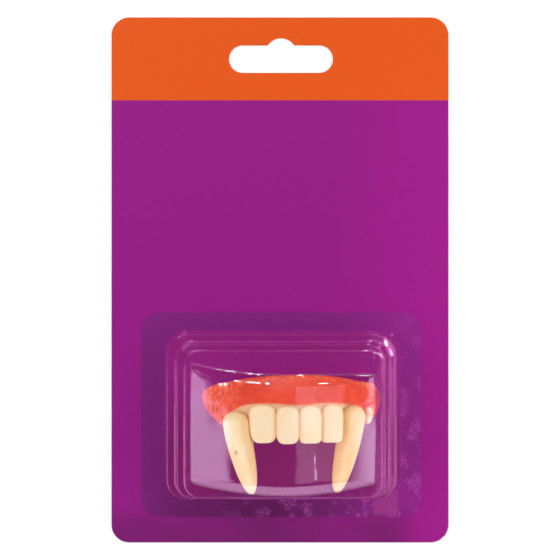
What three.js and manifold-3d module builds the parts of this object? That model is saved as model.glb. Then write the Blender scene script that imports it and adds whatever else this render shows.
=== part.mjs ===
// Costume fang teeth held by a clear formed blister on a hanging card.
// Millimetres. The card lies on its back: X runs to its right, Y up to its hanging slot,
// and Z out of its printed face. Left and right are as seen from the front.
import * as THREE from "three";
import { LoftGeometry } from "three/addons/geometries/LoftGeometry.js";
import { mergeVertices } from "three/addons/utils/BufferGeometryUtils.js";
import Module from "manifold-3d";

const { MathUtils, Shape, Vector2, Vector3 } = THREE;
const kernel = await Module();
kernel.setup();

// Card: a rounded board with a euro hanging slot near its top edge.
const CARD = { width: 104, height: 162, thickness: 0.6, corner: 5.5 };
const SLOT = { centre: new Vector2(0.3, 68.1), width: 32, height: 8.4, bumpWidth: 8.2, bumpRise: 2.2 };

// Blister: a sheet formed into a flange, two steps and a bowed front.
const SEAL_GAP = 0.1;
const SHEET = 0.5;
const SHEET_BACK = CARD.thickness + SEAL_GAP;
const FRONT = { middle: 1.2, height: 33.4, bow: 8, halfWidth: 26.5, lean: 2 };

// Outlines of the formed sheet on the card, from the flange to the front rim.
const BLISTER_ROWS = [
  { name: "flange edge", left: -42.9, right: 43.6, bottom: -73.2, top: -9.9, corner: 5.5, rise: 0 },
  { name: "first foot", left: -35.4, right: 37.2, bottom: -68.0, top: -15.7, corner: 6.5, rise: 0 },
  { name: "first rim", left: -34.5, right: 36.3, bottom: -67.4, top: -16.6, corner: 6, rise: 4.5 },
  { name: "second foot", left: -31.9, right: 34.1, bottom: -66.8, top: -18.6, corner: 5.5, rise: 4.5 },
  { name: "second rim", left: -31.1, right: 33.3, bottom: -66.4, top: -19.4, corner: 5, rise: 8 },
  { name: "front foot", left: -28.7, right: 31.4, bottom: -66.0, top: -21.2, corner: 4.5, rise: 8 },
  { name: "front rim", left: -25.7, right: 27.5, bottom: -59.8, top: -26.0, corner: 4, bowed: true },
];
const FIELD_SHARES = [0.74, 0.48, 0.24, 0.07];

// Arch of the denture in plan: half an ellipse from wing end to wing end.
const ARCH = { halfWidth: 27, depth: 25 };
const BITE = { x: 3.1, y: -32.5, z: 3, yaw: 4.7, pitch: 7 };
const GAP = 0.3;

// Heights on the denture, from the level of its wing ends' top edge.
const GUM = { endTop: -1, crown: 3.9, floor: -11.8, endHeight: 1.5, wingSlope: 0.755, lip: 0.45 };
const GUMLINE = { middle: -5.9, lobes: 0.5, falls: 0.55, over: 0.4, drop: 6.2 };
const FLOOR_THICKNESS = 1.4;
const LINGUAL_TOP = -3.2;

// Distances out from the arch: minus is towards the tongue.
const COLLAR_FACE = -0.3;
const BACKING_FACE = -2.2;
const BAND_BACK = -3.4;
const RECESS = BAND_BACK - GAP;
const WALL = { front: -5.4, wing: -2, lean: -3.2, wingLean: -0.9, rim: 1.7 };
const CHANNEL = 8.2;
const LINGUAL_WALL = 1.5;
const COLLAR_HEIGHT = 0.5;
const BAND_END = 0.77;
const BAND_FLOOR = -11.2;

// Front teeth: middle along the arch, width, heights of the neck and the biting edge, and twist.
const INCISORS = [
  { name: "incisor_lateral_left", along: -10.35, width: 7.6, neck: -6.6, edge: -16.5, twist: 2 },
  { name: "incisor_central_left", along: -3.28, width: 6.45, neck: -7, edge: -16.85, twist: 0 },
  { name: "incisor_central_right", along: 3.22, width: 6.35, neck: -7, edge: -16.75, twist: 0 },
  { name: "incisor_lateral_right", along: 9.75, width: 6.6, neck: -6.6, edge: -16.35, twist: -2 },
];
const INCISOR = { thickness: 3.5, out: -0.15, round: 3.2, corner: 4.4, edgeBack: 0.5, narrow: 0.1 };

// Fangs: place on the arch in radians, and the tip.
const FANGS = [
  { name: "fang_left", side: -1, turn: -0.685, tip: new Vector3(-12.2, -31.8, 13.6) },
  { name: "fang_right", side: 1, turn: 0.645, tip: new Vector3(12.2, -31.3, 13.6) },
];
const FANG = { top: -7.8, out: 1, along: 4.3, across: 2.65, taper: 2.7, blunt: 0.56, dome: 0.17 };

// Finishes.
const FINISH = {
  gum: { color: 0xee5a40, roughness: 0.45 },
  band: { color: 0xf7dcb0, roughness: 0.4 },
  tooth: { color: 0xfde6c4, roughness: 0.35 },
  fang: { color: 0xfadca6, roughness: 0.35 },
  clear: { color: 0xf2f5f8, roughness: 0.08, transparent: true, opacity: 0.18 },
  board: { color: 0x9b208a, roughness: 0.5 },
};

// A mesh with its own material under its own name.
function piece(name, geometry, finish) {
  const mesh = new THREE.Mesh(geometry, new THREE.MeshStandardMaterial(finish));
  mesh.name = name;
  return mesh;
}

// A solid through sections of equally many points, shut at both ends.
function solidLoft(sections) {
  return new LoftGeometry(sections, { capStart: true, capEnd: true });
}

// A closed geometry as a solid that can be cut.
function toSolid(geometry) {
  const bare = new THREE.BufferGeometry();
  bare.setAttribute("position", geometry.attributes.position);
  bare.setIndex(geometry.index);
  const merged = mergeVertices(bare, 1e-4);
  return new kernel.Manifold(new kernel.Mesh({
    numProp: 3,
    vertProperties: merged.attributes.position.array,
    triVerts: new Uint32Array(merged.index.array),
  }));
}

// One geometry with another one cut out of it.
function cutOut(geometry, hollow) {
  const mesh = toSolid(geometry).subtract(toSolid(hollow)).getMesh();
  const result = new THREE.BufferGeometry();
  result.setAttribute("position", new THREE.BufferAttribute(mesh.vertProperties, 3));
  result.setIndex(new THREE.BufferAttribute(mesh.triVerts, 1));
  result.computeVertexNormals();
  return result;
}

// Evenly spaced numbers from a first to a last one.
function steps(first, last, count) {
  return Array.from({ length: count + 1 }, (_, i) => MathUtils.lerp(first, last, i / count));
}

// A rounded outline, counterclockwise from its lower left, with even runs of points
// along its lower and upper edge.
function roundedOutline({ left, right, bottom, top, corner }, across = 12, bend = 5) {
  const points = [];
  const arc = (x, y, start) => {
    for (const turn of steps(start, start + Math.PI / 2, bend)) {
      points.push(new Vector2(x + corner * Math.cos(turn), y + corner * Math.sin(turn)));
    }
  };
  const run = (from, to, count) => {
    for (let i = 1; i < count; i += 1) {
      points.push(new Vector2().lerpVectors(from, to, i / count));
    }
  };
  const inner = { left: left + corner, right: right - corner, bottom: bottom + corner, top: top - corner };
  arc(inner.left, inner.bottom, Math.PI);
  run(new Vector2(inner.left, bottom), new Vector2(inner.right, bottom), across);
  arc(inner.right, inner.bottom, -Math.PI / 2);
  arc(inner.right, inner.top, 0);
  run(new Vector2(inner.right, top), new Vector2(inner.left, top), across);
  arc(inner.left, inner.top, Math.PI / 2);
  return points;
}

// The hanging slot: a long round-ended hole with a peg notch in its upper edge.
function slotPath() {
  const { centre, width, height, bumpWidth, bumpRise } = SLOT;
  const round = height / 2;
  const reach = width / 2 - round;
  const path = new THREE.Path();
  path.moveTo(centre.x - reach, centre.y - round);
  path.lineTo(centre.x + reach, centre.y - round);
  path.absarc(centre.x + reach, centre.y, round, -Math.PI / 2, Math.PI / 2);
  path.lineTo(centre.x + bumpWidth / 2, centre.y + round);
  path.quadraticCurveTo(
    centre.x + bumpWidth * 0.3, centre.y + round + bumpRise,
    centre.x, centre.y + round + bumpRise,
  );
  path.quadraticCurveTo(
    centre.x - bumpWidth * 0.3, centre.y + round + bumpRise,
    centre.x - bumpWidth / 2, centre.y + round,
  );
  path.lineTo(centre.x - reach, centre.y + round);
  path.absarc(centre.x - reach, centre.y, round, Math.PI / 2, Math.PI * 1.5);
  return path;
}

function card() {
  const { width, height, thickness, corner } = CARD;
  const edge = { left: -width / 2, right: width / 2, bottom: -height / 2, top: height / 2, corner };
  const outline = new Shape(roundedOutline(edge, 1, 6));
  outline.holes.push(slotPath());
  const geometry = new THREE.ExtrudeGeometry(outline, {
    depth: thickness, bevelEnabled: false, curveSegments: 8,
  });
  return piece("card", geometry, FINISH.board);
}

// One ring of the formed sheet's outer skin, or of the hollow one sheet further in.
function sheetRing(row, inset) {
  const outline = roundedOutline({
    left: row.left + inset,
    right: row.right - inset,
    bottom: row.bottom + inset,
    top: row.top - inset,
    corner: Math.max(row.corner - inset, 0.3),
  });
  return outline.map(({ x, y }) => {
    if (!row.bowed) return new Vector3(x, y, SHEET_BACK + SHEET + row.rise - inset);
    const share = Math.min(Math.abs(x - FRONT.middle) / FRONT.halfWidth, 1);
    const sag = FRONT.lean * (1 - share * share);
    return new Vector3(x, y - sag, FRONT.height - FRONT.bow * share * share - inset);
  });
}

// The front rim drawn in towards its middle, as a ring on the bowed front.
function fieldRow(rim, share) {
  const middleX = (rim.left + rim.right) / 2;
  const middleY = (rim.bottom + rim.top) / 2;
  return {
    left: MathUtils.lerp(middleX, rim.left, share),
    right: MathUtils.lerp(middleX, rim.right, share),
    bottom: MathUtils.lerp(middleY, rim.bottom, share),
    top: MathUtils.lerp(middleY, rim.top, share),
    corner: rim.corner * share,
    bowed: true,
  };
}

function blister() {
  const [edge, foot] = BLISTER_ROWS;
  const rim = BLISTER_ROWS.at(-1);
  const rows = [...BLISTER_ROWS, ...FIELD_SHARES.map((share) => fieldRow(rim, share))];
  const back = sheetRing({ ...edge, rise: -SHEET }, 0);
  const skin = solidLoft([back, ...rows.map((row) => sheetRing(row, 0))]);
  const mouth = sheetRing({ ...foot, rise: -SHEET }, SHEET);
  const hollow = solidLoft([mouth, ...rows.slice(2).map((row) => sheetRing(row, SHEET))]);
  return piece("blister", cutOut(skin, hollow), FINISH.clear);
}

// A point on the denture: a turn along the arch, a distance out from it, and a height.
function archPoint(turn, out, height) {
  const outward = new Vector2(ARCH.depth * Math.sin(turn), ARCH.halfWidth * Math.cos(turn)).normalize();
  return new Vector3(
    ARCH.halfWidth * Math.sin(turn) + outward.x * out,
    height,
    ARCH.depth * Math.cos(turn) + outward.y * out,
  );
}

// How far a turn has passed from the fangs into the wings, from 0 to 1.
function wingShare(turn) {
  return MathUtils.smoothstep(Math.abs(turn), 0.86, 1.2);
}

function gumTop(turn) {
  return GUM.endTop + GUM.crown * Math.cos(turn);
}

// The gum's lower edge: level behind the teeth, rising along the wings to their ends.
function gumFloor(turn) {
  const wing = gumTop(turn) - GUM.endHeight - GUM.wingSlope * ARCH.depth * Math.cos(turn);
  return Math.max(GUM.floor, wing);
}

// The line where the red gum meets the teeth, falling around the outer side of each fang.
function gumline(turn) {
  const past = MathUtils.clamp((Math.abs(turn) - GUMLINE.falls) / GUMLINE.over, 0, 1);
  const lobe = GUMLINE.lobes * Math.sin(Math.PI * Math.min(Math.abs(turn) / 0.7, 1)) ** 2;
  return GUMLINE.middle + lobe - GUMLINE.drop * past * past;
}

// The gum's trough in section: bulging outer face, recess for the band, floor and low inner wall.
function gumSection(turn) {
  const wing = wingShare(turn);
  const top = gumTop(turn);
  const under = gumFloor(turn);
  const line = Math.max(gumline(turn), under + 0.3);
  const recess = MathUtils.lerp(RECESS, -0.3, MathUtils.smoothstep(Math.abs(turn), 0.86, 0.93));
  const lean = MathUtils.lerp(WALL.lean, WALL.wingLean, wing);
  const wall = MathUtils.lerp(WALL.front, WALL.wing, wing);
  const floor = Math.min(under + FLOOR_THICKNESS, top - 0.35);
  const lip = Math.min(GUM.lip, (top - floor) * 0.4);
  const inner = Math.max(LINGUAL_TOP, floor + 0.2);
  const section = [new Vector2(lean - WALL.rim, top - lip), new Vector2(lean - WALL.rim / 2, top)];
  for (const share of steps(0, 1, 5)) {
    const swell = Math.sin((share * Math.PI) / 2);
    section.push(new Vector2(MathUtils.lerp(lean, 0, swell), MathUtils.lerp(top - lip, line, share)));
  }
  section.push(
    new Vector2(recess, line),
    new Vector2(recess, under),
    new Vector2(wall - CHANNEL - LINGUAL_WALL, under),
    new Vector2(wall - CHANNEL - LINGUAL_WALL, inner),
    new Vector2(wall - CHANNEL, inner),
    new Vector2(wall - CHANNEL, floor),
    new Vector2(wall, floor),
  );
  return section;
}

// The cream band in section: a collar under the gumline over a backing strip behind the teeth.
function bandSection(turn) {
  const line = gumline(turn) - GAP;
  const collar = line - COLLAR_HEIGHT;
  return [
    new Vector2(BAND_BACK, line),
    new Vector2(COLLAR_FACE, line),
    new Vector2(COLLAR_FACE, collar),
    new Vector2(BACKING_FACE, collar - 0.1),
    new Vector2(BACKING_FACE, BAND_FLOOR),
    new Vector2(BAND_BACK, BAND_FLOOR),
  ];
}

// A solid swept along the arch, with a section that changes with the turn.
function alongArch(section, end, count) {
  return solidLoft(steps(-end, end, count).map((turn) =>
    section(turn).map(({ x, y }) => archPoint(turn, x, y)),
  ));
}

// A rounded level ring around a middle point, long along the arch and short across it.
function ring(middle, turn, along, across, power, count = 20) {
  const outward = archPoint(turn, 1, 0).sub(archPoint(turn, 0, 0));
  const sideways = new Vector3(outward.z, 0, -outward.x);
  return Array.from({ length: count }, (_, i) => {
    const angle = (i / count) * Math.PI * 2;
    const c = Math.sign(Math.cos(angle)) * Math.abs(Math.cos(angle)) ** (2 / power);
    const s = Math.sign(Math.sin(angle)) * Math.abs(Math.sin(angle)) ** (2 / power);
    return middle.clone().addScaledVector(sideways, c * along).addScaledVector(outward, -s * across);
  });
}

// A front tooth: a pillow with a rounded neck, a broad face and a thinner biting edge.
function incisor({ name, along, width, neck, edge, twist }) {
  const place = along / ARCH.halfWidth;
  const half = (neck - edge) / 2;
  const rings = steps(-1, 1, 14).map((share) => {
    const sweep = Math.sin((share * Math.PI) / 2) * 0.995;
    const body = (1 - Math.abs(sweep) ** INCISOR.corner) ** (1 / INCISOR.corner);
    const down = (1 - sweep) / 2;
    const thick = INCISOR.thickness * (1 - 0.34 * down * down);
    const out = INCISOR.out + INCISOR.edgeBack * (1 - down) * 0.5;
    const wide = (width / 2) * body * (1 - INCISOR.narrow * down);
    return ring(
      archPoint(place, out, edge + half * (1 + sweep)),
      place + MathUtils.degToRad(twist), wide, (thick / 2) * body ** 0.8, INCISOR.round,
    );
  });
  return piece(name, solidLoft(rings), FINISH.tooth);
}

// A fang: an oval that runs down from the arch, curves in and back, and tapers to a blunt tip.
function fang({ name, side, turn, tip }) {
  const root = archPoint(turn, FANG.out, FANG.top);
  const axis = new THREE.CubicBezierCurve3(
    root,
    root.clone().add(new Vector3(0, -7, 0.3)),
    tip.clone().add(new Vector3(side * 1.4, 8, 2.2)),
    tip,
  );
  const rings = steps(0, 1, 22).map((share) => {
    const run = (1 - Math.cos(share * Math.PI)) / 2;
    const girth = (1 - (run * 0.999) ** FANG.taper) ** FANG.blunt;
    const dome = Math.sqrt(1 - (1 - Math.min((run + 0.002) / FANG.dome, 1)) ** 2);
    return ring(axis.getPoint(run), turn, FANG.along * girth * dome, FANG.across * girth * dome, 2.3);
  });
  return piece(name, solidLoft(rings.reverse()), FINISH.fang);
}

function denture() {
  const group = new THREE.Group();
  group.name = "denture";
  group.add(piece("gum", alongArch(gumSection, Math.PI / 2, 56), FINISH.gum));
  group.add(piece("tooth_band", alongArch(bandSection, BAND_END, 30), FINISH.band));
  for (const row of INCISORS) group.add(incisor(row));
  for (const row of FANGS) group.add(fang(row));
  group.position.set(BITE.x, BITE.y, BITE.z);
  group.rotation.set(MathUtils.degToRad(-BITE.pitch), MathUtils.degToRad(BITE.yaw), 0, "YXZ");
  return group;
}

const pack = new THREE.Group();
pack.name = "fang_teeth_on_card";
pack.add(card(), blister(), denture());

export default pack;
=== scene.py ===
"""Dresses the fang teeth, their clear blister and their hanging card, and sets a studio round them."""

import logging
import math
from collections.abc import Sequence
from dataclasses import dataclass, field
from enum import Enum
from functools import reduce
from typing import Any, ClassVar

import bpy
import numpy as np
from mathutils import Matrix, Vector
from numpy.typing import NDArray


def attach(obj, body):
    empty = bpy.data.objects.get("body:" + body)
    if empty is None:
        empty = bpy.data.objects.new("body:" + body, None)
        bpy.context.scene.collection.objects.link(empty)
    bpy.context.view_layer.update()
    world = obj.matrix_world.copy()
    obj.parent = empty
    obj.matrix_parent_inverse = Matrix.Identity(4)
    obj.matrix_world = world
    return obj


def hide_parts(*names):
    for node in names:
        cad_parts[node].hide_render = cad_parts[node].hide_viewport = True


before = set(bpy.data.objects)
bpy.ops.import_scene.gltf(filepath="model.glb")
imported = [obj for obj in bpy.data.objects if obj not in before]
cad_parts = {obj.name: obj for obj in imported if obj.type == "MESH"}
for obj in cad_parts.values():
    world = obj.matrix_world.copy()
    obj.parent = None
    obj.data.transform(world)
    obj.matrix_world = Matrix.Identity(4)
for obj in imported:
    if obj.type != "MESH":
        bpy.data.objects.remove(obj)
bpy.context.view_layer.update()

Array = NDArray[np.float64]
Socket = bpy.types.NodeSocket
Colour = tuple[float, float, float, float]
Triple = tuple[float, float, float]

MM = 0.001
LATTICE_STEPS = np.array([374761393, 668265263, 2147483647])
SEED_STEP = 1446651
SCRAMBLE = 1274126177
FILLET_SHARE = 0.48
NUMBER_STEPS = ("DISTANCE", "LENGTH", "DOT_PRODUCT")
MIX_COLOURS = (6, 7)
MIX_RESULT = 2
FLANGE_ROW = 0
FOOT_ROW = 3
LILAC: Triple = (1.0, 0.66, 0.96)
MAUVE: Triple = (1.0, 0.64, 0.82)
ROSE: Triple = (1.0, 0.52, 0.66)
log = logging.getLogger("fang_teeth")


class Slot(Enum):
    """The record's material slots."""

    CARD = "card"
    BLISTER = "blister"
    GUM = "gum"
    BAND = "tooth_band"
    INCISORS = "incisors"
    FANGS = "fangs"


class Side(Enum):
    """The side of the mouth that a tooth stands on, seen from the front."""

    LEFT = -1
    RIGHT = 1


class Reach(Enum):
    """What a lamp does: it lights surfaces, or it shows in reflections."""

    MATT = "matt"
    SHINE = "shine"


class Facing(Enum):
    """Where a lamp looks: at the part, straight across the card, or straight along it."""

    PART = "part"
    ACROSS = "across"
    ALONG = "along"


def tone(red: int, green: int, blue: int) -> Colour:
    """Turns a screen colour into the linear colour that shaders use.

    Args:
        red: Red from 0 to 255.
        green: Green from 0 to 255.
        blue: Blue from 0 to 255.

    Returns:
        The linear colour with full alpha.
    """
    share = np.array([red, green, blue]) / 255
    linear = np.where(share <= 0.04045, share / 12.92, ((share + 0.055) / 1.055) ** 2.4)
    return (float(linear[0]), float(linear[1]), float(linear[2]), 1.0)


def smoothstep(value: Array, low: float, high: float) -> Array:
    """Eases from 0 at a low value to 1 at a high one, as 3s² - 2s³ of the share s between them."""
    share = np.clip((value - low) / (high - low), 0, 1)
    return share * share * (3 - 2 * share)


def mottle(points: Array, cell: float, seed: int) -> Array:
    """Smooth noise from -1 to 1.

    Each corner of a lattice of cells gets a number scrambled from its whole-number place, and
    the eight corners round a point are blended with eased weights.

    Args:
        points: Places, with three coordinates in the last axis.
        cell: Side of a lattice cell.
        seed: A whole number that picks the pattern.

    Returns:
        One number per place.
    """
    scaled = points / cell
    base = np.floor(scaled).astype(np.int64)
    part = scaled - base
    ease = part * part * (3 - 2 * part)
    total = np.zeros(points.shape[:-1])
    for corner in np.ndindex(2, 2, 2):
        code = (base + np.array(corner)) @ LATTICE_STEPS + seed * SEED_STEP
        code = (code ^ (code >> 13)) * SCRAMBLE
        code = code ^ (code >> 16)
        weight = np.where(np.array(corner) == 1, ease, 1 - ease).prod(axis=-1)
        total += weight * ((code & 0xFFFF) / 32767.5 - 1)
    return total


def filleted(rows: Array, fillets: Sequence[float], bend: int, run: int, closed: bool = False) -> Array:
    """Rounds a stack of matching rows of points wherever the stack turns.

    Each turning row is swapped for a parabola that begins one fillet before it and ends one
    fillet after it, at most a set share of the way to the next row, and the straight runs
    between the parabolas are cut into equal steps.

    Args:
        rows: Rows × columns × coordinates.
        fillets: One fillet length for each row.
        bend: Steps in each parabola.
        run: Steps in each straight run.
        closed: Whether the last row leads back to the first.

    Returns:
        The finer stack of rows.
    """
    count = len(rows)
    turning = np.arange(count) if closed else np.arange(1, count - 1)
    corner, size = rows[turning], np.array(fillets)[turning, None, None]
    ends = []
    for beside in (rows[turning - 1], rows[(turning + 1) % count]):
        way = beside - corner
        length = np.linalg.norm(way, axis=-1, keepdims=True) + 1e-9
        ends.append(corner + way * np.minimum(size / length, FILLET_SHARE))
    start, stop = ends
    after = np.concatenate([start[1:], start[:1] if closed else rows[-1:]])
    share = np.linspace(0, 1, bend + 1)[:, None, None, None]
    step = np.linspace(0, 1, run + 1)[1:-1, None, None, None]
    curves = start * (1 - share) ** 2 + 2 * corner * share * (1 - share) + stop * share**2
    runs = stop + (after - stop) * step
    finer = np.concatenate([curves, runs]).swapaxes(0, 1).reshape(-1, *rows.shape[1:])
    if closed:
        return finer
    return np.concatenate([rows[:1], rows[:1] + (start[0] - rows[:1]) * step[:, 0], finer, rows[-1:]])


def rounded_section(corners: Sequence[tuple[Any, Any, float]], bend: int, run: int) -> Array:
    """A closed section with rounded corners, at each of many places along a sweep.

    Args:
        corners: How far out and how high each corner lies at each place, and its fillet.
        bend: Steps in each fillet.
        run: Steps in each straight run.

    Returns:
        Section points × places × (out, height).
    """
    stack = np.stack([np.stack(np.broadcast_arrays(out, up), axis=-1) for out, up, _ in corners])
    return filleted(stack, [fillet for _, _, fillet in corners], bend, run, closed=True)


def shrunk_ends(section: Array, turn: Array, end: float, over: float, share: float = 1.0) -> Array:
    """Shrinks a swept section onto its middle, as a quarter circle, towards both of its ends.

    Args:
        section: Section points × turns × 2.
        turn: Angles along the sweep.
        end: The angle where it ends.
        over: The angle over which it shrinks.
        share: How far it shuts, 1 being fully.

    Returns:
        The section with its ends shrunk.
    """
    late = np.clip((np.abs(turn) - end) / over + 1, 0, 1)
    middle = section.mean(axis=0, keepdims=True)
    return middle + (section - middle) * np.sqrt(1 - share * late * late)[None, :, None]


def squared_ring(power: float, count: int) -> Array:
    """Goes round a superellipse of half width and half depth 1.

    The cosine and the sine of equal steps, each to the power of 2 over its own with the sign kept.

    Args:
        power: Its power: 2 for an ellipse, more for a squarer ring.
        count: Number of points.

    Returns:
        Places across and places out, 2 × count.
    """
    angle = np.linspace(0, 2 * math.pi, count, endpoint=False)
    waves = np.stack([np.cos(angle), np.sin(angle)])
    return np.sign(waves) * np.abs(waves) ** (2 / power)


@dataclass(frozen=True)
class Panel:
    """A rounded rectangle on the card: its edges and its corner radius, in millimetres."""

    left: float
    right: float
    bottom: float
    top: float
    corner: float

    def outline(self, across: int, up: int, bend: int) -> Array:
        """Its outline, counterclockwise from its lower left corner.

        Four quarter circles take turns with four straight sides, and each is cut into a fixed
        number of equal steps, so that two such outlines match point for point.

        Args:
            across: Steps along the lower and upper sides.
            up: Steps along the right and left sides.
            bend: Steps in each corner.

        Returns:
            Points × 2.
        """
        left, right = self.left + self.corner, self.right - self.corner
        bottom, top = self.bottom + self.corner, self.top - self.corner
        middles = np.array([[left, bottom], [right, bottom], [right, top], [left, top]])
        firsts = np.array([math.pi, 1.5 * math.pi, 0.0, 0.5 * math.pi])
        turn = firsts[:, None] + np.linspace(0, math.pi / 2, bend + 1)
        arcs = middles[:, None, :] + self.corner * np.stack([np.cos(turn), np.sin(turn)], axis=-1)
        pieces = []
        for index, steps in enumerate((across, up, across, up)):
            share = np.linspace(0, 1, steps + 1)[1:-1, None]
            after = arcs[(index + 1) % 4][0]
            pieces += [arcs[index], arcs[index][-1] * (1 - share) + after * share]
        return np.concatenate(pieces)


@dataclass
class Skin:
    """A surface on a grid whose columns close into rings.

    Attributes:
        points: Rows × columns × 3, in millimetres.
        ring_rows: Whether the last row leads back to the first.
        first_pole: Whether the first row is shut onto its middle, as the last one is.
        marks: Values on the grid that a finish reads by name.
    """

    points: Array
    ring_rows: bool = False
    first_pole: bool = True
    marks: dict[str, Array] = field(default_factory=dict)

    def normals(self) -> Array:
        """Directions across the surface.

        The cross product of the steps along the rows and along the columns, made one long and
        turned outwards.

        Returns:
            Rows × columns × 3.
        """
        along = np.roll(self.points, -1, axis=1) - np.roll(self.points, 1, axis=1)
        down = np.gradient(self.points, axis=0)
        cross = np.cross(down, along)
        cross /= np.linalg.norm(cross, axis=-1, keepdims=True) + 1e-12
        return cross if self.volume() > 0 else -cross

    def volume(self) -> float:
        """Six times the volume that the grid's own winding holds.

        The sum of the triple products of each cell's corners, taken from the middle of the grid.

        Returns:
            The volume, below zero where the winding points inwards.
        """
        local = self.points - self.points.reshape(-1, 3).mean(axis=0)
        a, b = local[:-1], np.roll(local[:-1], -1, axis=1)
        c, d = np.roll(local[1:], -1, axis=1), local[1:]
        return float((a * np.cross(c, b)).sum() + (a * np.cross(d, c)).sum())

    def raise_by(self, amount: Array) -> None:
        """Moves every point out along the surface's own direction, by an amount in millimetres."""
        self.points = self.points + self.normals() * amount[..., None]

    def shut(self) -> list[int]:
        """The end rows that are shut onto their middles."""
        return [] if self.ring_rows else [0, -1] if self.first_pole else [-1]

    def faces(self) -> list[list[int]]:
        """The grid's cells as faces that point outwards, with fans at the poles.

        Returns:
            The corners of each face.
        """
        rows, columns = self.points.shape[:2]
        grid = np.arange(rows * columns).reshape(rows, columns)
        here, after = (grid, np.roll(grid, -1, axis=0)) if self.ring_rows else (grid[:-1], grid[1:])
        beside, beyond = np.roll(here, -1, axis=1), np.roll(after, -1, axis=1)
        quads = np.stack([here, after, beyond, beside], axis=-1).reshape(-1, 4)
        outward = self.volume() > 0
        found = (quads if outward else quads[:, ::-1]).tolist()
        for pole, row in enumerate(self.shut(), start=rows * columns):
            fan = np.stack([np.full(columns, pole), grid[row], np.roll(grid[row], -1)], axis=-1)
            found += (fan if (row == -1) != outward else fan[:, ::-1]).tolist()
        return found

    def build(self, name: str) -> bpy.types.Object:
        """Makes the object, in metres, with smooth faces and its marks as attributes.

        Args:
            name: The object's name.

        Returns:
            The new object.
        """
        poles = [self.points[row].mean(axis=0)[None] for row in self.shut()]
        places = np.concatenate([self.points.reshape(-1, 3)] + poles) * MM
        mesh = bpy.data.meshes.new(name)
        mesh.from_pydata(places.tolist(), [], self.faces())
        mesh.polygons.foreach_set("use_smooth", np.ones(len(mesh.polygons), bool))
        for mark, values in self.marks.items():
            full = np.concatenate([values.reshape(-1)] + [values[row].mean()[None] for row in self.shut()])
            mesh.attributes.new(mark, "FLOAT", "POINT").data.foreach_set("value", full.astype(np.float32))
        mesh.update()
        made = bpy.data.objects.new(name, mesh)
        bpy.context.scene.collection.objects.link(made)
        return made


def fit(made: bpy.types.Object, slot: Slot, finish: bpy.types.Material, *nodes: str) -> bpy.types.Object:
    """Dresses a piece, puts it on the part's one body and lets it stand for its solids.

    Args:
        made: The piece.
        slot: The record's slot for its finish; not used.
        finish: Its material.
        *nodes: The solids that it stands for.

    Returns:
        The piece.
    """
    made.data.materials.append(finish)
    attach(made, "root")
    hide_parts(*nodes)
    log.info("%s: %d faces", made.name, len(made.data.polygons))
    return made


class Nodes:
    """A node tree, with short calls for the steps that materials and lamps share."""

    def __init__(self, tree: bpy.types.NodeTree) -> None:
        """Takes the node tree that the calls add to."""
        self.tree = tree

    def put(self, node: bpy.types.Node, socket: int | str, value: Any) -> None:
        """Links a socket to another one, or sets it to a plain value.

        Args:
            node: The node that is fed.
            socket: The input's name or number.
            value: A socket, a number, a vector or a colour.
        """
        if isinstance(value, bpy.types.NodeSocket):
            self.tree.links.new(value, node.inputs[socket])
        else:
            node.inputs[socket].default_value = value

    def add(self, kind: str, *inputs: Any, **settings: str) -> bpy.types.Node:
        """Adds a node.

        Args:
            kind: Its type, without the word that all shader nodes start with.
            *inputs: Sockets or values for its first inputs, in order.
            **settings: Its own settings by name, such as its operation.

        Returns:
            The node.
        """
        node = self.tree.nodes.new(f"ShaderNode{kind}")
        for name, setting in settings.items():
            setattr(node, name, setting)
        for index, value in enumerate(inputs):
            self.put(node, index, value)
        return node

    def maths(self, operation: str, *operands: Socket | float) -> Socket:
        """One step of arithmetic."""
        return self.add("Math", *operands, operation=operation).outputs[0]

    def times(self, *shares: Socket | float) -> Socket:
        """The product of some shares."""
        return reduce(lambda product, share: self.maths("MULTIPLY", product, share), shares)

    def vector(self, operation: str, *operands: Any) -> Socket:
        """One step of vector arithmetic, which gives a number for a length, a distance or a dot product."""
        node = self.add("VectorMath", *operands, operation=operation)
        return node.outputs["Value" if operation in NUMBER_STEPS else "Vector"]

    def split(self, vector: Socket) -> tuple[Socket, ...]:
        """The three coordinates of a vector."""
        return tuple(self.add("SeparateXYZ", vector).outputs)

    def ease(self, value: Socket, low: float, high: float, first: float = 0.0, last: float = 1.0) -> Socket:
        """Eases from a first number to a last one as a value goes from low to high."""
        return self.add("MapRange", value, low, high, first, last, interpolation_type="SMOOTHSTEP").outputs[0]


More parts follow.
